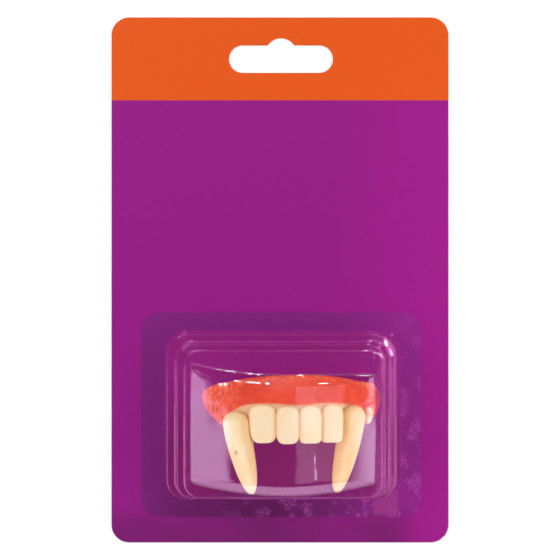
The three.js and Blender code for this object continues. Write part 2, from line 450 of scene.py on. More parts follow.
class Recipe(Nodes):
    """A material's nodes, with short calls for the steps that the finishes share."""

    def __init__(self, name: str) -> None:
        """Starts a material with one shader that reads the piece's own coordinates.

        Args:
            name: The material's name.
        """
        self.material = bpy.data.materials.new(name)
        self.material.use_nodes = True
        super().__init__(self.material.node_tree)
        self.tree.nodes.clear()
        self.shader = self.add("BsdfPrincipled")
        self.put(self.add("OutputMaterial"), "Surface", self.shader.outputs[0])
        self.place = self.add("TexCoord").outputs["Object"]

    def shade(self, **sockets: Any) -> None:
        """Feeds the shader's inputs, which are named in small letters with underscores for spaces."""
        for name, value in sockets.items():
            self.put(self.shader, name.replace("_", " ").title().replace("Ior", "IOR"), value)

    def noise(self, size: float, detail: float = 3.0, stretch: Sequence[float] = (1, 1, 1)) -> Socket:
        """Cloudy noise from 0 to 1.

        Args:
            size: Size of its blotches in millimetres.
            detail: How many finer layers it has.
            stretch: How much finer it is along each axis.

        Returns:
            The noise.
        """
        node = self.add("TexNoise")
        self.put(node, "Vector", self.vector("MULTIPLY", self.place, tuple(stretch)))
        self.put(node, "Scale", 1 / (size * MM))
        self.put(node, "Detail", detail)
        return node.outputs["Fac"]

    def ramp(self, value: Socket, low: float, high: float, first: float = 0.0, last: float = 1.0) -> Socket:
        """Eases from a first number to a last one as a length goes from low to high millimetres."""
        return self.ease(value, low * MM, high * MM, first, last)

    def mix(self, share: Socket, first: Socket | Colour, second: Socket | Colour) -> Socket:
        """Goes from one colour to another.

        Args:
            share: How much of the second colour.
            first: The first colour.
            second: The second colour.

        Returns:
            The mixed colour.
        """
        node = self.add("Mix", share, data_type="RGBA")
        for index, colour in zip(MIX_COLOURS, (first, second)):
            self.put(node, index, colour)
        return node.outputs[MIX_RESULT]

    def mark(self, name: str) -> Socket:
        """One of the piece's own marks."""
        return self.add("Attribute", attribute_name=name).outputs["Fac"]

    def bump(self, height: Socket, depth: float, strength: float) -> Socket:
        """Turns a height into a bent normal.

        Args:
            height: The height, from 0 to 1.
            depth: The height of 1, in millimetres.
            strength: How much of the bend is used.

        Returns:
            The normal.
        """
        node = self.add("Bump")
        self.put(node, "Strength", strength)
        self.put(node, "Distance", depth * MM)
        self.put(node, "Height", height)
        return node.outputs[0]

    def beyond(self, panel: Panel) -> Socket:
        """How far a place lies outside a rounded rectangle on the card, in metres.

        The length of what is left of the distance from the middle past the inner rectangle, less
        the corner radius.

        Args:
            panel: The rounded rectangle.

        Returns:
            The distance, below zero inside.
        """
        middle = ((panel.left + panel.right) / 2 * MM, (panel.bottom + panel.top) / 2 * MM, 0)
        half_x, half_y = (panel.right - panel.left) / 2, (panel.top - panel.bottom) / 2
        inner = ((half_x - panel.corner) * MM, (half_y - panel.corner) * MM, 0)
        flat = self.vector("MULTIPLY", self.place, (1, 1, 0))
        away = self.vector("ABSOLUTE", self.vector("SUBTRACT", flat, middle))
        past = self.vector("MAXIMUM", self.vector("SUBTRACT", away, inner), (0, 0, 0))
        return self.maths("SUBTRACT", self.vector("LENGTH", past), panel.corner * MM)


@dataclass(frozen=True)
class GumFinish:
    """Soft red plastic, brushed paler where it was rubbed."""

    red: Colour = tone(238, 60, 14)
    pale: Colour = tone(246, 140, 108)
    deep: Colour = tone(218, 40, 12)
    thin: Colour = tone(238, 130, 78)

    def material(self) -> bpy.types.Material:
        """Makes the material: blotches of three reds, streaks down the wall, and a satin skin.

        Returns:
            The material.
        """
        recipe = Recipe("soft_red_gum")
        streaks = recipe.noise(1.6, 4, (2.4, 0.5, 2.4))
        rubs = recipe.ease(recipe.noise(0.6, 4), 0.5, 0.64)
        brushed = recipe.maths("MAXIMUM", recipe.ease(streaks, 0.46, 0.6), rubs)
        faded = recipe.ease(recipe.noise(0.8, 3), 0.2, 0.7, 0.6, 1.0)
        colour = recipe.mix(recipe.ease(recipe.noise(7, 3), 0.45, 0.8), self.red, self.deep)
        colour = recipe.mix(recipe.times(brushed, recipe.mark("rubbed")), colour, self.pale)
        colour = recipe.mix(recipe.times(recipe.mark("thin"), faded), colour, self.thin)
        recipe.shade(
            base_color=colour,
            roughness=recipe.ease(streaks, 0.25, 0.75, 0.36, 0.54),
            normal=recipe.bump(recipe.noise(0.5, 4), 0.05, 0.5),
            subsurface_weight=0.15,
            specular_ior_level=0.35,
            subsurface_radius=(1.0, 0.35, 0.2),
            subsurface_scale=0.8 * MM,
        )
        return recipe.material


@dataclass(frozen=True)
class EnamelFinish:
    """Cream plastic with amber stain and painted shade in its folds, and small brown flecks."""

    name: str
    cream: Colour
    pale: Colour
    amber_and_shade: Colour = tone(226, 166, 84)
    fleck: Colour = tone(180, 88, 30)

    def material(self) -> bpy.types.Material:
        """Makes the material: cloudy cream, amber stain with painted shade and flecks where the piece is
        marked, satin skin.

        Returns:
            The material.
        """
        recipe = Recipe(self.name)
        cloud = recipe.noise(5, 3, (1, 0.6, 1))
        speckle = recipe.noise(0.7, 3)
        # Amber where the piece is marked: partly the plastic's own yellowing, partly painted shade in its
        # folds.
        stained_and_shaded = recipe.times(recipe.mark("amber_and_shade"), recipe.ease(speckle, 0.1, 0.6, 0.75, 1.0))
        colour = recipe.mix(recipe.ease(cloud, 0.35, 0.7), self.cream, self.pale)
        colour = recipe.mix(stained_and_shaded, colour, self.amber_and_shade)
        colour = recipe.mix(recipe.mark("fleck"), colour, self.fleck)
        recipe.shade(
            base_color=colour,
            roughness=recipe.ease(cloud, 0.3, 0.7, 0.34, 0.48),
            normal=recipe.bump(speckle, 0.03, 0.5),
            subsurface_weight=0.2,
            subsurface_radius=(1.0, 0.7, 0.4),
            subsurface_scale=1.0 * MM,
        )
        return recipe.material


@dataclass(frozen=True)
class ClearSheetFinish:
    """Clear formed sheet: each face mirrors a little, more at a glance, and lets the rest through.

    Attributes:
        tint: Colour of what the bowed front mirrors.
        deep: Colour of what the wall and the steps mirror, a painted violet reflection of the board.
        facing: Share that is mirrored face on.
        steps: How much more of that the steps mirror.
        glance: Power by which the share rises towards a glance.
    """

    tint: Colour = tone(244, 246, 252)
    deep: Colour = tone(248, 182, 244)
    facing: float = 0.04
    steps: float = 1.2
    glance: float = 5.0

    def material(self) -> bpy.types.Material:
        """Makes the material.

        What mirrors rises with a power of the glance, less on the thin wall. Seen face on, the
        steps mirror more, and what they mirror is tinted the board's violet, a painted reflection.

        Returns:
            The material.
        """
        recipe = Recipe("clear_formed_sheet")
        stepped, calm = recipe.mark("stepped"), recipe.mark("calm")
        rise = recipe.maths("POWER", recipe.add("LayerWeight", 0.5).outputs["Facing"], self.glance)
        least = recipe.maths("MULTIPLY_ADD", stepped, self.facing * self.steps, self.facing)
        mirrored = recipe.maths("MULTIPLY_ADD", rise, 1 - self.facing, least)
        # Painted reflection: the steps, the wall and the seal mirror in the board's violet.
        coloured = recipe.maths("MAXIMUM", recipe.ease(calm, 0.0, 0.4), stepped)
        recipe.shade(
            base_color=recipe.mix(coloured, self.tint, self.deep),
            metallic=1.0,
            roughness=recipe.ease(recipe.noise(2.5, 4), 0.4, 0.8, 0.03, 0.11),
            normal=recipe.bump(recipe.noise(3.2, 3, (1, 0.12, 1)), 0.05, 0.5),
            alpha=recipe.times(mirrored, recipe.maths("SUBTRACT", 1.0, calm)),
        )
        return recipe.material


@dataclass(frozen=True)
class PrintedBoardFinish:
    """Printed board: two flat inks in front with painted light and shade on them, a darker sealed border, a
    bare back and a pale core.
    """

    purple: Colour = tone(141, 12, 125)
    purple_lit_right: Colour = tone(150, 10, 130)
    painted_shade_purple: Colour = tone(104, 15, 92)
    orange: Colour = tone(220, 82, 8)
    under_sheet_lighting: Colour = tone(153, 30, 130)
    shadowed: Colour = tone(132, 26, 106)
    sealed: Colour = tone(118, 26, 114)
    sealed_lit_right: Colour = tone(136, 28, 128)
    sealed_in_painted_shade: Colour = tone(70, 2, 60)
    lifted: Colour = tone(172, 66, 160)
    unsealed: Colour = tone(148, 48, 126)
    core: Colour = tone(240, 237, 230)
    bare: Colour = tone(226, 221, 211)
    fibre: Colour = tone(196, 188, 174)
    header: float = 55.4
    hatched: Panel = Panel(6, 34, -78, -62, 2)
    hatch: float = 4600.0
    torn: Panel = Panel(28.2, 36.7, -72.8, -60, 1.0)

    def loose(self, recipe: Recipe, x: Socket, y: Socket) -> Socket:
        """Where the flange lifts from the board: speckled patches to the lower right, and a hatched field.

        Args:
            recipe: The material's nodes.
            x: Place across the card.
            y: Place up the card.

        Returns:
            How loose it is, from 0 to 1.
        """
        patches = recipe.times(
            recipe.ease(recipe.noise(5, 4), 0.5, 0.6),
            recipe.ease(recipe.noise(0.6, 2), 0.4, 0.6),
            recipe.ramp(recipe.maths("SUBTRACT", x, y), 40, 92, 0, 0.75),
        )
        ways = ((self.hatch, self.hatch, 0), (self.hatch, -self.hatch, 0))
        waves = [recipe.maths("SINE", recipe.vector("DOT_PRODUCT", recipe.place, way)) for way in ways]
        inside = recipe.ramp(recipe.beyond(self.hatched), -8, 0, 0.5, 0)
        hatching = recipe.times(inside, recipe.ease(recipe.times(*waves), 0.0, 0.6))
        return recipe.maths("MAXIMUM", patches, hatching)

    def front(self, recipe: Recipe, blister: "Blister") -> Socket:
        """The printed face: the inks with painted light and shade, and the border that the blister's flange
        is sealed to.

        Args:
            recipe: The material's nodes.
            blister: The blister, for its flange.

        Returns:
            The colour.
        """
        x, y, _ = recipe.split(recipe.place)
        # Painted shadow: the board darkens towards a point below the denture and along the bottom edge, where
        # the blister and the teeth cast shade.
        low = recipe.vector("DISTANCE", recipe.place, (-8 * MM, -84 * MM, 0))
        below = recipe.times(recipe.ramp(y, -77, -68, 0.8, 0), recipe.ramp(x, 34, 46, 1, 0))
        shade = recipe.maths("MAXIMUM", recipe.ramp(low, 10, 48, 1, 0), below)
        shade = recipe.times(shade, recipe.ease(recipe.noise(26, 3), 0.2, 0.7, 0.6, 1))
        # Lighter towards the right: partly the ink's own tone and partly painted light, where more light
        # falls on the right of the board.
        colour = recipe.mix(recipe.ramp(x, 10, 50), self.purple, self.purple_lit_right)
        colour = recipe.mix(shade, colour, self.painted_shade_purple)
        edge, foot = (recipe.beyond(blister.rows[row]) for row in (FLANGE_ROW, FOOT_ROW))
        ring = recipe.times(recipe.ramp(edge, -0.35, 0.1, 1, 0), recipe.ramp(foot, -0.2, 0.4))
        # Painted light and shade under the sheet: the board is lighter where the blister covers it, making up
        # for the sheet's own shadow, and darker lower down, as the teeth's shadow.
        under_sheet_lighting = recipe.mix(recipe.ramp(y, -54, -30), self.shadowed, self.under_sheet_lighting)
        colour = recipe.mix(recipe.ramp(foot, -0.4, 0.2, 1, 0), colour, under_sheet_lighting)
        # The seal is lighter towards the right in the same way, partly painted light.
        sealed = recipe.mix(recipe.ramp(x, 10, 42), self.sealed, self.sealed_lit_right)
        # Painted shadow on the seal: it darkens towards the bottom with the same mask.
        sealed = recipe.mix(shade, sealed, self.sealed_in_painted_shade)
        colour = recipe.mix(recipe.times(ring, 0.9), colour, sealed)
        colour = recipe.mix(recipe.times(self.loose(recipe, x, y), ring), colour, self.lifted)
        torn = recipe.ramp(recipe.beyond(self.torn), -1.0, 0.1, 0.85, 0)
        colour = recipe.mix(recipe.times(torn, ring), colour, self.unsealed)
        header = recipe.ramp(y, self.header - 0.12, self.header + 0.12)
        return recipe.mix(header, colour, self.orange)

    def material(self, card: "Card", blister: "Blister") -> bpy.types.Material:
        """Makes the material.

        Args:
            card: The card, for its outline.
            blister: The blister, for its flange.

        Returns:
            The material.
        """
        recipe = Recipe("printed_board")
        _, _, facing = recipe.split(recipe.add("NewGeometry").outputs["Normal"])
        fibres = recipe.noise(0.9, 5, (1, 3, 1))
        edges = card.panel()
        corner = recipe.vector("DISTANCE", recipe.place, (edges.right * MM, edges.bottom * MM, 0))
        worn = recipe.times(
            recipe.ramp(recipe.beyond(edges), -0.45, -0.05),
            recipe.ease(recipe.noise(1.4, 4), 0.5, 0.66),
            recipe.ramp(corner, 5, 9, 0.8, 0.0),
        )
        board = recipe.mix(recipe.ease(fibres, 0.45, 0.75), self.bare, self.fibre)
        core = recipe.mix(recipe.ease(fibres, 0.4, 0.7), self.core, self.bare)
        colour = recipe.mix(worn, self.front(recipe, blister), self.core)
        colour = recipe.mix(recipe.ease(facing, 0.55, 0.8), core, colour)
        colour = recipe.mix(recipe.ease(facing, -0.8, -0.55, 1, 0), colour, board)
        recipe.shade(
            base_color=colour,
            roughness=recipe.ease(fibres, 0.3, 0.7, 0.42, 0.58),
            normal=recipe.bump(recipe.noise(0.35, 4), 0.02, 0.4),
            specular_ior_level=0.12,
        )
        return recipe.material


@dataclass(frozen=True)
class Arch:
    """The denture's arch in plan, half an ellipse, and where the denture lies on the card.

    Attributes:
        half_width: Half the distance between the wing ends.
        depth: Distance from the wing ends to the front.
        shift: The denture's place on the card.
        yaw: Turn to the right, in degrees.
        pitch: How far the top leans back, in degrees.
    """

    half_width: float = 27.0
    depth: float = 25.0
    shift: Triple = (3.1, -32.5, 3.0)
    yaw: float = 4.7
    pitch: float = 7.0

    def outward(self, turn: Array) -> Array:
        """Level direction across the ellipse: depth times sine, half width times cosine, made one long."""
        across = np.stack([self.depth * np.sin(turn), 0 * turn, self.half_width * np.cos(turn)], axis=-1)
        return across / np.linalg.norm(across, axis=-1, keepdims=True)

    def point(self, turn: Array, out: Array, height: Array) -> Array:
        """A place on the denture: the ellipse's point, moved outwards and up.

        Args:
            turn: Angles along the arch.
            out: Distances out from it.
            height: Heights.

        Returns:
            Places in the denture's own frame.
        """
        turn, out, height = np.broadcast_arrays(turn, out, height)
        base = np.stack([self.half_width * np.sin(turn), height, self.depth * np.cos(turn)], axis=-1)
        return base + self.outward(turn) * out[..., None]

    def placed(self, points: Array) -> Array:
        """Leans, turns and moves places from the denture's own frame onto the card.

        Args:
            points: Places in the denture's own frame.

        Returns:
            Places in the card's frame.
        """
        lean, turn = math.radians(-self.pitch), math.radians(self.yaw)
        leaning = np.array([
            [1, 0, 0], [0, math.cos(lean), -math.sin(lean)], [0, math.sin(lean), math.cos(lean)],
        ])
        turning = np.array([
            [math.cos(turn), 0, math.sin(turn)], [0, 1, 0], [-math.sin(turn), 0, math.cos(turn)],
        ])
        return points @ (turning @ leaning).T + np.array(self.shift)

    def ringed(self, axis: Array, turn: float, wide: Array, deep: Array) -> Array:
        """Lays rings round an axis, each point moved along the arch and out from it.

        Args:
            axis: Rows × 3 places in the denture's own frame.
            turn: The angle on the arch that the rings face.
            wide: Rows × columns distances along the arch.
            deep: Rows × columns distances out from it.

        Returns:
            Rows × columns × 3 places.
        """
        outward = self.outward(np.array(turn))
        sideways = np.array([outward[2], 0, -outward[0]])
        return axis[:, None, :] + wide[..., None] * sideways + deep[..., None] * outward


@dataclass
class Gum:
    """The red trough that carries the teeth: an outer wall, a floor and a low inner wall.

    Places out are measured from the arch, and turns are angles along it.

    Attributes:
        arch: The denture's arch.
        end_top: Height of the upper edge at the wing ends.
        crown: How much higher that edge is in front.
        floor: Height of the lower edge behind the teeth.
        end_height: Height of the wall at the wing ends.
        wing_slope: Slope of the lower edge along the wings.
        wing_start: Turn where the section starts to change into the wings' own.
        wing_full: Turn where it has changed.
        lip: Height of the upper edge's rounding.
        lean: Place out of the wall's top in front.
        lean_wings: How much further out that top is on the wings.
        wall: Place out of the channel's outer side in front.
        wall_wings: How much further out that side is on the wings.
        line_middle: Height of the line where red meets cream.
        line_lobes: How far that line's two lobes rise.
        lobe_reach: Turn where a lobe ends.
        line_falls: Turn where the line starts to fall beside a fang.
        line_over: Turn over which it falls.
        line_drop: How far it falls.
        recess: Place out of the wall behind the teeth.
        recess_wings: The same on the wings.
        recess_full: Turn where the recess has ended.
        channel: Width of the channel.
        inner_wall: Thickness of the inner wall.
        floor_thickness: Thickness of the floor.
        inner_top: Height of the inner wall's top.
        rim: Width of the upper edge.
        end_round: Turn over which a wing end is rounded.
        right_swell: How much further out the right wing stands.
        turns: Steps along the arch.
    """

    arch: Arch
    end_top: float = -1.0
    crown: float = 3.9
    floor: float = -11.8
    end_height: float = 1.5
    wing_slope: float = 0.755
    wing_start: float = 0.86
    wing_full: float = 1.2
    lip: float = 0.6
    lean: float = -3.2
    lean_wings: float = 2.3
    wall: float = -5.4
    wall_wings: float = 3.4
    line_middle: float = -5.9
    line_lobes: float = 0.5
    lobe_reach: float = 0.7
    line_falls: float = 0.55
    line_over: float = 0.4
    line_drop: float = 6.2
    recess: float = -3.7
    recess_wings: float = -0.3
    recess_full: float = 0.93
    channel: float = 8.2
    inner_wall: float = 1.5
    floor_thickness: float = 1.4
    inner_top: float = -3.2
    rim: float = 1.7
    end_round: float = 0.035
    right_swell: float = 0.5
    turns: int = 300

    def top(self, turn: Array) -> Array:
        """Height of the upper edge, which crowns with the cosine of the turn."""
        return self.end_top + self.crown * np.cos(turn)

    def under(self, turn: Array) -> Array:
        """Height of the lower edge: level behind the teeth, rising along the wings."""
        wing = self.top(turn) - self.end_height - self.wing_slope * self.arch.depth * np.cos(turn)
        return np.maximum(self.floor, wing)

    def line(self, turn: Array) -> Array:
        """Height of the line where red meets cream, lobed in front and falling beside the fangs.

        Args:
            turn: Angles along the arch.

        Returns:
            The middle height, plus a squared sine over the front, less a square past the fangs.
        """
        size = np.abs(turn)
        past = np.clip((size - self.line_falls) / self.line_over, 0, 1)
        lobe = self.line_lobes * np.sin(math.pi * np.minimum(size / self.lobe_reach, 1)) ** 2
        return self.line_middle + lobe - self.line_drop * past * past

    def section(self, turn: Array) -> Array:
        """The trough's section at each turn, with its corners rounded.

        Args:
            turn: Angles along the arch.

        Returns:
            Section points × turns × (out, height).
        """
        size = np.abs(turn)
        wing = smoothstep(size, self.wing_start, self.wing_full)
        top, under = self.top(turn), self.under(turn)
        line = np.maximum(self.line(turn), under + 0.3)
        filled = smoothstep(size, self.wing_start, self.recess_full)
        recess = self.recess + (self.recess_wings - self.recess) * filled
        lean, wall = self.lean + self.lean_wings * wing, self.wall + self.wall_wings * wing
        floor = np.minimum(under + self.floor_thickness, top - 0.35)
        lip = np.minimum(self.lip, (top - floor) * 0.4)
        inner = np.maximum(self.inner_top, floor + 0.2)
        far = wall - self.channel
        corners = [(lean - self.rim, top - lip, 0.5), (lean - self.rim / 2, top, 0.8)]
        for share in np.linspace(0, 1, 13):
            out = lean * (1 - math.sin(share * math.pi / 2))
            corners.append((out, top - lip + (line - top + lip) * share, 0.6 if share < 1 else 0.22))
        corners += [
            (recess, line, 0.25),
            (recess, under, 0.4),
            (far - self.inner_wall, under, 0.7),
            (far - self.inner_wall, inner, 0.6),
            (far, inner, 0.6),
            (far, floor, 0.7),
            (wall, floor, 0.7),
        ]
        return rounded_section(corners, bend=4, run=3)

    def skin(self) -> Skin:
        """Sweeps the section along the arch, rounds the wing ends and roughens the wall.

        Returns:
            The surface, marked where it is rubbed and where its edge is thin.
        """
        body = np.linspace(-1, 1, self.turns) * (math.pi / 2 - self.end_round)
        cap = math.pi / 2 - self.end_round * (1 - np.sin(np.linspace(0.1, 0.995, 12) * math.pi / 2))
        turn = np.concatenate([-cap[::-1], body, cap])
        section = shrunk_ends(self.section(turn), turn, math.pi / 2, self.end_round)
        wide = section[..., 0] + self.right_swell * smoothstep(turn, 0.9, 1.45)[None, :]
        local = self.arch.point(turn[None, :], wide, section[..., 1]).transpose(1, 0, 2)
        out, height = section.transpose(2, 1, 0)
        wall = smoothstep(out, -4.5, -2.5) * smoothstep(height - self.under(turn)[:, None], 0.5, 2.0)
        edge = smoothstep(height - self.top(turn)[:, None], -2.4, -0.2)
        left = smoothstep(-turn, 0.5, 1.0)[:, None]
        right = smoothstep(turn, 0.75, 1.2)[:, None]
        grain = mottle(local * np.array([1, 0.45, 1]), 1.3, 5) * 0.08 + mottle(local, 0.55, 9) * 0.045
        made = Skin(self.arch.placed(local))
        made.raise_by((grain * (0.3 + 0.1 * left + 1.8 * edge) + mottle(local, 4.5, 3) * 0.09) * wall)
        made.marks["rubbed"] = np.clip(0.1 + 0.7 * edge + 0.45 * left + 0.25 * right, 0, 1) * wall
        thin = 0.75 * smoothstep(height - self.line(turn)[:, None], 0.55, 0.0)
        made.marks["thin"] = thin * smoothstep(out, -0.8, -0.2)
        return made

    def build(self) -> bpy.types.Object:
        """Makes the gum."""
        return fit(self.skin().build("soft_gum"), Slot.GUM, GumFinish().material(), "gum")


@dataclass
class ToothBand:
    """The cream strip that joins the teeth: a collar under the gum over a backing behind them.

    Attributes:
        arch: The denture's arch.
        gum: The gum that the strip is tucked under.
        collar_face: Place out of the collar's face.
        collar_height: Height of the collar.
        tuck: How far the collar goes up behind the gum's edge.
        fill_face: Place out of the backing's face.
        fill_ends: The same at the strip's ends.
        back: Place out of the strip's back.
        floor: Height of its lower edge.
        floor_ends: The same at its ends.
        ends_start: Turn where it starts to draw in.
        ends_full: Turn where it has drawn in.
        end: Turn where it ends.
        end_round: Turn over which its end is rounded.
        end_shut: How far the rounding shuts.
        flecks: Brown marks: place across, place up and size.
        turns: Steps along the arch.
    """

    arch: Arch
    gum: Gum
    collar_face: float = -0.12
    collar_height: float = 0.9
    tuck: float = 0.12
    fill_face: float = 0.1
    fill_ends: float = -2.0
    back: float = -3.4
    floor: float = -14.0
    floor_ends: float = -11.2
    ends_start: float = 0.64
    ends_full: float = 0.75
    end: float = 0.77
    end_round: float = 0.02
    end_shut: float = 0.98
    flecks: tuple[Triple, ...] = (
        (17.8, -37.3, 0.45), (17.2, -35.4, 0.32), (-9.1, -36.9, 0.32),
    )
    turns: int = 150

    def skin(self) -> Skin:
        """Sweeps the strip's section along the front of the arch, with rounded ends.

        Returns:
            The surface, marked with amber stain and painted shade, most just under the gum's edge, and where
            it has flecks.
        """
        turn = np.linspace(-self.end, self.end, self.turns)
        line = self.gum.line(turn) + self.tuck
        collar = line - self.collar_height
        ends = smoothstep(np.abs(turn), self.ends_start, self.ends_full)
        floor = self.floor + (self.floor_ends - self.floor) * ends
        fill = self.fill_face + (self.fill_ends - self.fill_face) * ends
        corners = [
            (self.back, line, 0.3),
            (self.collar_face, line, 0.12),
            (self.collar_face, collar, 0.5),
            (fill, collar - 0.7, 0.5),
            (fill, floor, 0.4),
            (self.back, floor, 0.4),
        ]
        section = rounded_section(corners, bend=5, run=5)
        section = shrunk_ends(section, turn, self.end, self.end_round, self.end_shut)
        local = self.arch.point(turn[None, :], section[..., 0], section[..., 1]).transpose(1, 0, 2)
        made = Skin(self.arch.placed(local))
        below = line[:, None] - section[..., 1].T
        # Amber and painted shade: a little all over the band, where it shows between the teeth, and most
        # under the gum's edge, partly the gum's paint bleeding onto it.
        made.marks["amber_and_shade"] = 0.25 + 0.5 * smoothstep(below, 1.4, 0.1)
        x, y = made.points[..., 0], made.points[..., 1]
        away = np.stack([np.hypot(x - across, y - up) / size for across, up, size in self.flecks])
        made.marks["fleck"] = smoothstep(away.min(axis=0), 1.0, 0.35) * 0.85
        return made

    def build(self, finish: bpy.types.Material) -> bpy.types.Object:
        """Makes the band."""
        return fit(self.skin().build("cream_band"), Slot.BAND, finish, "tooth_band")


@dataclass
class Tooth:
    """A tooth on the arch.

    Attributes:
        arch: The denture's arch.
        node: The solid that it stands for.
        slot: The record's slot for its finish.
    """

    arch: Arch
    node: str
    slot: ClassVar[Slot]

    def skin(self) -> Skin:
        """The tooth's surface, which each kind of tooth works out."""
        raise NotImplementedError

    def build(self, finish: bpy.types.Material) -> bpy.types.Object:
        """Makes the tooth."""
        return fit(self.skin().build(f"moulded_{self.node}"), self.slot, finish, self.node)


@dataclass
class Incisor(Tooth):
    """One flat front tooth: a pillow with an arched neck and a square biting edge.

    Attributes:
        along: Distance of its middle along the arch.
        width: Width at the neck.
        neck: Height of the neck.
        edge: Height of the biting edge.
        twist: Turn on the arch, in degrees.
        narrow_left: Share by which the left side draws in at the edge.
        narrow_right: Share by which the right side draws in at the edge.
    """

    slot: ClassVar[Slot] = Slot.INCISORS
    along: float
    width: float
    neck: float
    edge: float
    twist: float
    narrow_left: float = 0.1
    narrow_right: float = 0.1
    thickness: float = 3.6
    thinning: float = 0.34
    out: float = -0.15
    neck_out: float = 0.25
    edge_power: float = 5.0
    neck_power: float = 3.2
    round_power: float = 2.7
    touch: float = 0.33

    def skin(self) -> Skin:
        """Stacks rounded rings from the biting edge to the neck.

        Each ring is a superellipse across the arch. Its size follows a second superellipse over
        the height, and it thins and draws in towards the edge.

        Returns:
            The surface, marked with amber stain and painted shade in the folds between teeth and at the neck.
        """
        sweep = np.sin(np.linspace(-1, 1, 90) * math.pi / 2) * 0.9995
        power = np.where(sweep > 0, self.neck_power, self.edge_power)
        body = (1 - np.abs(sweep) ** power) ** (1 / power)
        down = (1 - sweep) / 2
        c, s = squared_ring(self.round_power, 96)
        narrow = np.where(c < 0, self.narrow_left, self.narrow_right)[None, :]
        wide = (self.width / 2 + self.touch) * body[:, None] * (1 - narrow * down[:, None])
        deep = self.thickness * (1 - self.thinning * down**2) / 2 * body**0.8
        place = self.along / self.arch.half_width
        height = self.edge + (self.neck - self.edge) / 2 * (1 + sweep)
        middle = self.arch.point(np.array(place), self.out + self.neck_out * (1 - down), height)
        local = self.arch.ringed(middle, place + math.radians(self.twist), wide * c, deep[:, None] * s)
        made = Skin(self.arch.placed(local))
        made.raise_by(mottle(local, 2.2, 17) * 0.04 * body[:, None] ** 2)
        # Painted shade and amber in the folds between teeth and at the neck.
        fold = smoothstep(np.abs(c), 0.66, 1.0)[None, :] * np.ones_like(wide)
        neck = smoothstep(height, self.neck - 1.4, self.neck + 0.3)[:, None]
        made.marks["amber_and_shade"] = np.clip(0.42 * fold * (1 - 0.5 * neck) + 0.22 * neck, 0, 0.8)
        made.marks["fleck"] = np.zeros_like(wide)
        return made


@dataclass
class BandStub(Incisor):
    """The small end of the band that shows beyond the right fang, rounder than a tooth."""

    slot: ClassVar[Slot] = Slot.BAND
    along: float = 24.4
    width: float = 2.9
    neck: float = -6.6
    edge: float = -11.4
    twist: float = 0.0
    thickness: float = 3.0
    out: float = 0.1
    edge_power: float = 2.3
    neck_power: float = 2.3
    round_power: float = 2.2
    touch: float = 0.0


@dataclass
class Fang(Tooth):
    """One long fang: an oval that curves in and back and tapers to a blunt tip.

    Attributes:
        side: Its side of the mouth.
        turn: Its place on the arch.
        tip: Its tip in the denture's own frame.
        flecks: Brown marks on its face: place across, place up, half width, half height, strength.
    """

    slot: ClassVar[Slot] = Slot.FANGS
    side: Side
    turn: float
    tip: Triple
    flecks: tuple[tuple[float, float, float, float, float], ...] = ()
    top: float = -7.8
    out: float = 1.0
    half_along: float = 4.3
    half_across: float = 2.65
    root_pull: Triple = (0, -7, 0.3)
    bulge: float = 1.4
    tip_pull: tuple[float, float] = (8, 2.2)
    taper: float = 2.75
    blunt: float = 0.5
    dome: float = 0.17
    ring_power: float = 2.3
    inner_stain_and_shade: float = 0.5

    def skin(self) -> Skin:
        """Stacks oval rings along a cubic curve from the root to the tip.

        A ring's size is one less the run to a power, rooted, times a quarter circle at the root.

        Returns:
            The surface, marked with amber stain and painted shade on its inner side and its root, and brown
            at its flecks.
        """
        run = (1 - np.cos(np.linspace(0, 1, 150) * math.pi)) / 2
        girth = (1 - (run * 0.9998) ** self.taper) ** self.blunt
        girth = girth * np.sqrt(1 - (1 - np.minimum((run + 0.0005) / self.dome, 1)) ** 2)
        tip = np.array(self.tip)
        root = self.arch.point(np.array(self.turn), np.array(self.out), np.array(self.top))
        tip_pull = np.array([self.side.value * self.bulge, *self.tip_pull])
        pulls = np.stack([root, root + np.array(self.root_pull), tip + tip_pull, tip])
        left = 1 - run
        weights = np.stack([left**3, 3 * run * left**2, 3 * run**2 * left, run**3], axis=-1)
        c, s = squared_ring(self.ring_power, 88)
        wide, deep = self.half_along * girth[:, None] * c, self.half_across * girth[:, None] * s
        local = self.arch.ringed(weights @ pulls, self.turn, wide, deep)
        made = Skin(self.arch.placed(local))
        made.raise_by(mottle(local, 2.6, 23) * 0.05 * girth[:, None])
        # Painted shade and amber on the fang's inner side and at its root.
        inner = smoothstep(-self.side.value * c, 0.45, 1.0)[None, :] * smoothstep(run, 1.0, 0.72)[:, None]
        root_fold = smoothstep(run, 0.16, 0.02)[:, None]
        made.marks["amber_and_shade"] = np.clip(self.inner_stain_and_shade * inner + 0.3 * root_fold, 0, 0.8)
        made.marks["fleck"] = self.flecked(made, s)
        return made

    def flecked(self, made: Skin, s: Array) -> Array:
        """How brown each point is: each fleck fades with the squared distance over its half sizes.

        Args:
            made: The fang's surface.
            s: Which way each column faces, out being above zero.

        Returns:
            Rows × columns shares.
        """
        brown = np.zeros(made.points.shape[:2])
        ragged = 1 + 0.5 * mottle(made.points, 0.5, 41)
        for across, up, half_width, half_height, strength in self.flecks:
            x = (made.points[..., 0] - across) / half_width
            y = (made.points[..., 1] - up) / half_height
            brown = np.maximum(brown, strength * np.exp(-((x * x + y * y) * ragged) ** 1.5))
        return brown * smoothstep(s, 0.0, 0.3)[None, :]


@dataclass(frozen=True)
class FormedRow(Panel):
    """One outline of the formed sheet, with its rise and its fillet."""

    rise: float
    fillet: float


